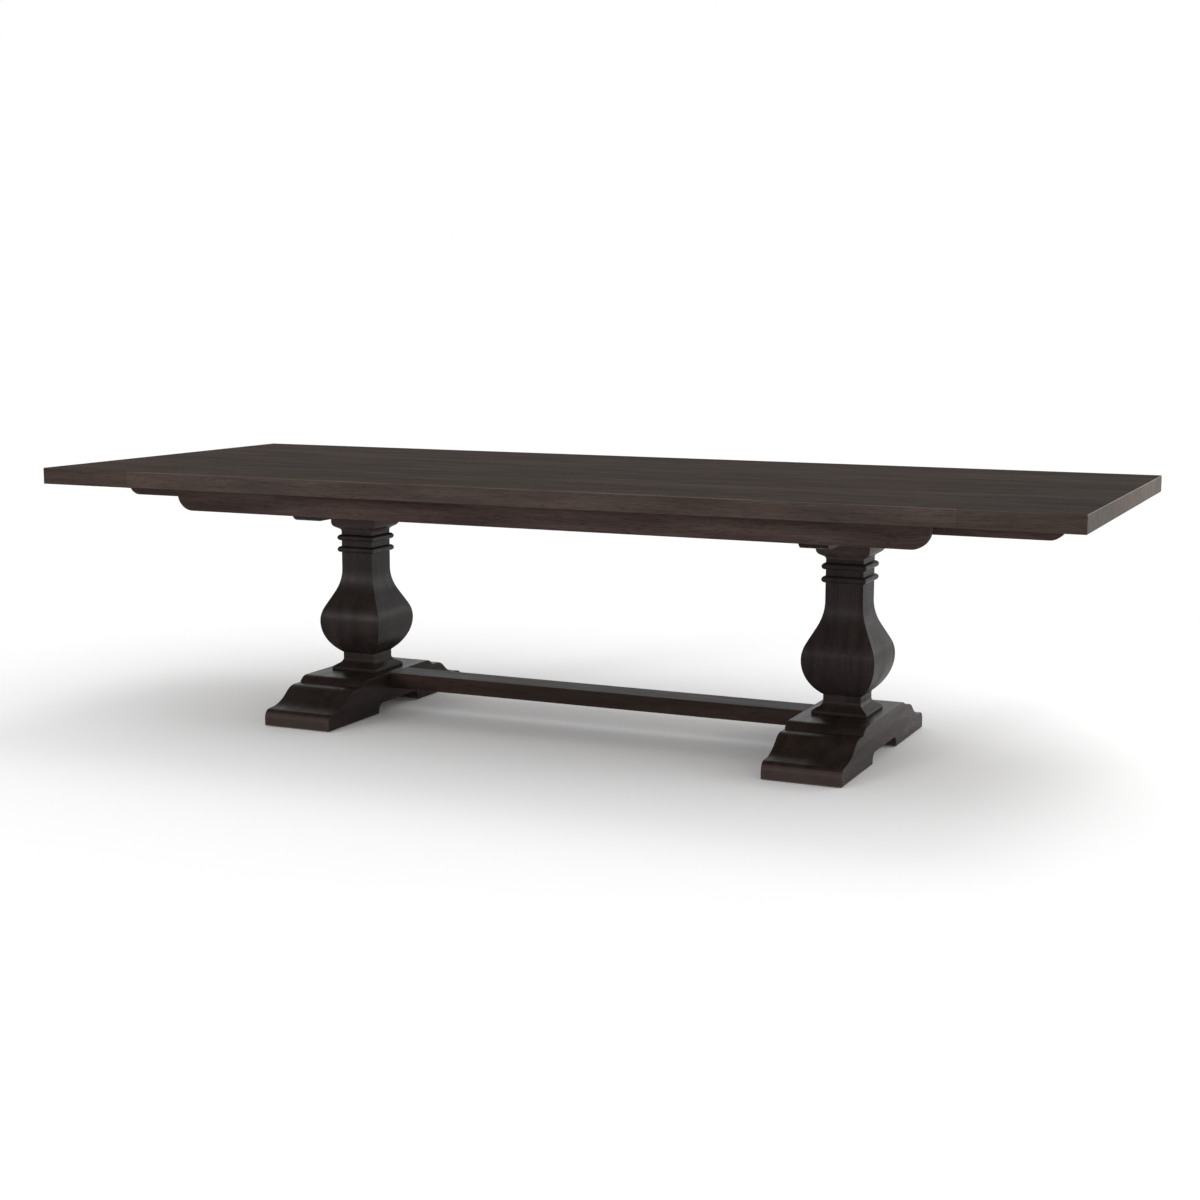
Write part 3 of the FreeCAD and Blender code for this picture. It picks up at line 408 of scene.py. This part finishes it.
def woodFigure(tree, layers, endGrain, spec):
    rings = compute(tree, "SINE", compute(tree, "MULTIPLY", layers["rings"], spec["ringCount"]))
    share = spec["fibreShare"]
    parts = (
        compute(tree, "MULTIPLY", layers["bands"], spec["bandShare"]),
        compute(tree, "MULTIPLY", rings, spec["ringShare"]),
        remap(tree, layers["fibres"], *noiseSpan, -share, share),
    )
    figure = compute(tree, "MULTIPLY", layers["streaks"], 1 - spec["bandShare"])
    for part in parts:
        figure = compute(tree, "ADD", figure, part)
    short = compute(tree, "SUBTRACT", spec["stainAt"], figure)
    evened = compute(tree, "MULTIPLY", short, spec["endEvening"])
    return compute(tree, "ADD", figure, compute(tree, "MULTIPLY", endGrain, evened))


def woodTone(tree, figure, clouds, spec):
    ramp = addNode(tree, "ShaderNodeValToRGB", {"Fac": figure})
    stops = ramp.color_ramp.elements
    stops[0].position, stops[0].color = spec["deepAt"], (*spec["deep"], 1)
    stops[1].position, stops[1].color = spec["warmAt"], (*spec["warm"], 1)
    stops.new(spec["stainAt"]).color = (*spec["stain"], 1)
    cloudy = remap(tree, clouds, *spec["cloudSpan"], 0, 1)
    tint = mixColour(tree, cloudy, (*spec["redTint"], 1), (*spec["greyTint"], 1))
    return mixColour(tree, 1, ramp.outputs["Color"], tint, "MULTIPLY")


def makeWood(name, spec):
    # The grain runs along the first coordinate once the piece's own coordinates are turned.
    material, tree, shader = newMaterial(name)
    inputs = {"Vector": ownPlace(tree), "Rotation": grainWay(name)["turn"]}
    grain = addNode(tree, "ShaderNodeMapping", inputs).outputs[0]
    boardShade = None
    if "boardWidth" in spec:
        grain, boardShade = splitBoards(tree, grain, spec)
    grain = swayGrain(tree, grain, spec)
    layers = {layer: noise(tree, grain, *spec[layer])
              for layer in ("streaks", "bands", "rings", "fibres", "pores", "clouds")}
    marks = {mark: addNode(tree, "ShaderNodeAttribute", {}, attribute_name=mark).outputs["Fac"]
             for mark in ("arris", "paintedSideShade", "endGrain")}
    figure = woodFigure(tree, layers, marks["endGrain"], spec)
    edge = spec["poreEdge"]
    poreMask = remap(tree, layers["pores"], edge, edge + spec["poreBlur"], 0, 1)

    colour = woodTone(tree, figure, layers["clouds"], spec)
    if boardShade:
        colour = mixColour(tree, 1, colour, boardShade, "MULTIPLY")
    poreAmount = compute(tree, "MULTIPLY", poreMask, spec["poreShare"])
    colour = mixColour(tree, poreAmount, colour, (*spec["pore"], 1))
    # Painted light and shade: upright faces and end faces take tints for how the light falls on
    # them.
    for mark, tint in (("paintedSideShade", "paintedSideShade"), ("endGrain", "paintedEndLight")):
        if tint in spec:
            colour = mixColour(tree, marks[mark], colour, (*spec[tint], 1), "MULTIPLY")
    # Arrises lighter: partly real wear, partly a painted highlight.
    wearAndHighlight = remap(tree, figure, *spec["wornAndHighlitSpan"], spec["wearAndHighlight"] / 2, spec["wearAndHighlight"])
    wornAndHighlit = compute(tree, "MULTIPLY", marks["arris"], wearAndHighlight)
    colour = mixColour(tree, wornAndHighlit, colour, (*spec["rubbedAndHighlight"], 1))
    feed(tree, shader["Base Color"], colour)

    rough, smooth = spec["roughness"] + spec["roughSwing"], spec["roughness"] - spec["roughSwing"]
    feed(tree, shader["Roughness"], remap(tree, figure, *spec["roughSpan"], rough, smooth))
    raised = compute(tree, "MULTIPLY", layers["fibres"], spec["fibreRise"])
    height = compute(tree, "SUBTRACT", raised, poreMask)
    addBump(tree, shader, spec["relief"], spec["depth"], height)
    shader["Specular IOR Level"].default_value = spec["gloss"]
    return material


# Steel and nylon

zincPlate = {
    "brushed": ((60, 900, 900), 3.0),
    "patches": ((90, 90, 90), 2.0),
    "dull": (0.40, 0.39, 0.37, 1),
    "bright": (0.54, 0.53, 0.50, 1),
    "roughness": (0.30, 0.46),
    "relief": 0.15,
    "depth": 0.0002,
}
glideNylon = {
    "specks": ((1400, 1400, 1400), 2.0),
    "scuffs": ((120, 120, 120), 4.0),
    "scuffSpan": (0.4, 0.7),
    "dark": (0.075, 0.07, 0.066, 1),
    "pale": (0.12, 0.112, 0.105, 1),
    "roughness": (0.45, 0.6),
    "relief": 0.2,
    "depth": 0.0002,
}


def makeSteel(spec):
    material, tree, shader = newMaterial("zincPlatedSteel")
    place = ownPlace(tree)
    brushed = noise(tree, place, *spec["brushed"])
    patches = noise(tree, place, *spec["patches"])
    feed(tree, shader["Base Color"], mixColour(tree, patches, spec["dull"], spec["bright"]))
    feed(tree, shader["Roughness"], remap(tree, brushed, *noiseSpan, *spec["roughness"]))
    addBump(tree, shader, spec["relief"], spec["depth"], brushed)
    shader["Metallic"].default_value = 1
    return material


def makeNylon(spec):
    material, tree, shader = newMaterial("glideNylon")
    place = ownPlace(tree)
    specks = noise(tree, place, *spec["specks"])
    scuffs = noise(tree, place, *spec["scuffs"])
    scuffed = remap(tree, scuffs, *spec["scuffSpan"], 0, 1)
    feed(tree, shader["Base Color"], mixColour(tree, scuffed, spec["dark"], spec["pale"]))
    feed(tree, shader["Roughness"], remap(tree, scuffs, *noiseSpan, *spec["roughness"]))
    addBump(tree, shader, spec["relief"], spec["depth"], specks)
    return material


finishes = {name: makeWood(name, spec) for name, spec in woods.items()}
finishes["steel"] = makeSteel(zincPlate)
finishes["nylon"] = makeNylon(glideNylon)
print("materials made")


# Wood pieces: the frame's own shapes, with their outer edges eased

easing = {
    "mergeGap": 0.00001,
    "flatAngle": math.radians(0.4),
    "sharpAngle": math.radians(28),
    "creaseAngle": math.radians(40),
    "holeReach": 0.06,      # smaller loops of edges are holes, and stay crisp
    "steps": 2,
    "seam": 1.2192,
    "seamReach": 0.002,
}
marking = {                 # limits of a face's normal, and how much wear and painted highlight it takes
    "underZ": -0.2,
    "downWearAndHighlight": 0.2,
    "paintedSideShadeZ": 0.5,
    "endLimit": 0.8,
    "rimZ": (0.1, 0.95),
    "rimEndX": 0.5,
    "leafRimHighlight": 0.12,
}
seamed = ("topAlong", "leftLeafAlong", "rightLeafAlong")


def atSeam(edge):
    return all(abs(abs(vert.co.x) - easing["seam"]) < easing["seamReach"] for vert in edge.verts)


def outerEdges(shape):
    sharp = {edge for edge in shape.edges if len(edge.link_faces) == 2
             and edge.calc_face_angle(0) > easing["sharpAngle"]}
    outer = set()
    while sharp:
        group, front = set(), [sharp.pop()]
        while front:
            edge = front.pop()
            group.add(edge)
            near = {other for vert in edge.verts for other in vert.link_edges if other in sharp}
            sharp -= near
            front += near
        places = [vert.co for edge in group for vert in edge.verts]
        spans = [max(place[i] for place in places) - min(place[i] for place in places)
                 for i in range(3)]
        if max(spans) > easing["holeReach"]:
            outer |= group
    return outer


def easeEdges(shape, width, finish):
    outer = outerEdges(shape)
    edges = [edge for edge in shape.edges
             if edge in outer and not (finish in seamed and atSeam(edge))]
    made = bmesh.ops.bevel(shape, geom=edges, offset=width, affect="EDGES",
                           segments=easing["steps"], profile=0.5, material=-1, clamp_overlap=True)
    return made["faces"]


def markFaces(shape, eased, marks, finish):
    # Eased edges take wear and a painted highlight, less where they face down.
    for face in eased:
        face[marks["arris"]] = 1 if face.normal.z > marking["underZ"] else marking["downWearAndHighlight"]
    axis = grainWay(finish)["axis"]
    low, high = marking["rimZ"]
    for face in shape.faces:
        normal = face.normal
        # Upright faces carry the painted side light; end faces are marked for the end grain's
        # figure and its painted light.
        face[marks["paintedSideShade"]] = 1 if abs(normal.z) < marking["paintedSideShadeZ"] else 0
        face[marks["endGrain"]] = 1 if abs(normal[axis]) > marking["endLimit"] else 0
        # The rounded rims of the top and leaves take a painted highlight line, fainter along the
        # leaves' long sides.
        if finish in seamed and low < normal.z < high:
            full = finish == "topAlong" or abs(normal.x) > marking["rimEndX"]
            face[marks["arris"]] = 1 if full else marking["leafRimHighlight"]


def finishWood(node, width, finish):
    shape = bmesh.new()
    shape.from_mesh(frame["nodes"][node].data)
    bmesh.ops.remove_doubles(shape, verts=shape.verts, dist=easing["mergeGap"])
    bmesh.ops.dissolve_limit(shape, angle_limit=easing["flatAngle"],
                             verts=shape.verts, edges=shape.edges)
    marks = {name: shape.faces.layers.float.new(name) for name in ("arris", "paintedSideShade", "endGrain")}
    markFaces(shape, easeEdges(shape, width, finish), marks, finish)
    mesh = bpy.data.meshes.new(f"{node}_finished")
    shape.to_mesh(mesh)
    shape.free()
    if "custom_normal" in mesh.attributes:
        mesh.attributes.remove(mesh.attributes["custom_normal"])
    mesh.materials.clear()
    mesh.materials.append(finishes[finish])
    mesh.shade_smooth()
    mesh.set_sharp_from_angle(angle=easing["creaseAngle"])
    piece = bpy.data.objects.new(f"{node}_finished", mesh)
    bpy.context.scene.collection.objects.link(piece)
    even = piece.modifiers.new("evenShading", "WEIGHTED_NORMAL")
    even.keep_sharp = True
    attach(piece, bodyOf[node])
    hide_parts(node)


sides = ("left", "right")
stainedPieces = {           # finish, and width of the eased edges
    "main_top": ("topAlong", 0.0006),
    "left_leaf": ("leftLeafAlong", 0.0006),
    "right_leaf": ("rightLeafAlong", 0.0006),
    "front_apron": ("apronAlong", 0.0015),
    "back_apron": ("apronAlong", 0.0015),
    "stretcher": ("stretcherAlong", 0.0015),
}
for side in sides:
    for front in ("front", "back"):
        stainedPieces[f"{front}_{side}_rail"] = ("stainAlong", 0.0015)
    stainedPieces[f"{side}_bearer"] = ("trestleAcross", 0.0015)
    stainedPieces[f"{side}_capital"] = ("capitalAcross", 0.001)
    stainedPieces[f"{side}_pedestal"] = (f"{side}Upright", 0.0012)
    stainedPieces[f"{side}_plinth"] = ("trestleAcross", 0.001)
    stainedPieces[f"{side}_foot"] = ("footAcross", 0.0018)
for node, (finish, width) in stainedPieces.items():
    finishWood(node, width, finish)
print("stained wood finished:", len(stainedPieces), "pieces")

plainPieces = {"glue_blocks": ("plainAlong", 0.001)}
for side in sides:
    for name in ("crosspiece", "batten", "leaf_cleat"):
        plainPieces[f"{side}_{name}"] = ("plainAcross", 0.001)
for node, (finish, width) in plainPieces.items():
    finishWood(node, width, finish)
print("plain wood finished:", len(plainPieces), "pieces")


# Fittings keep the frame's own shapes

slotFinish = {
    "dark_wood": "trestleAcross",
    "inner_wood": "plainAcross",
    "steel": "steel",
    "glide": "nylon",
}


def dressFittings():
    slots = {part["node"]: part["material_slot"] for part in frame["record"]["subparts"]}
    for node, piece in frame["nodes"].items():
        if piece.hide_render:
            continue
        for place in piece.material_slots:
            place.material = finishes[slotFinish[slots[node]]]


dressFittings()
print("fittings dressed")

bpy.context.view_layer.update()
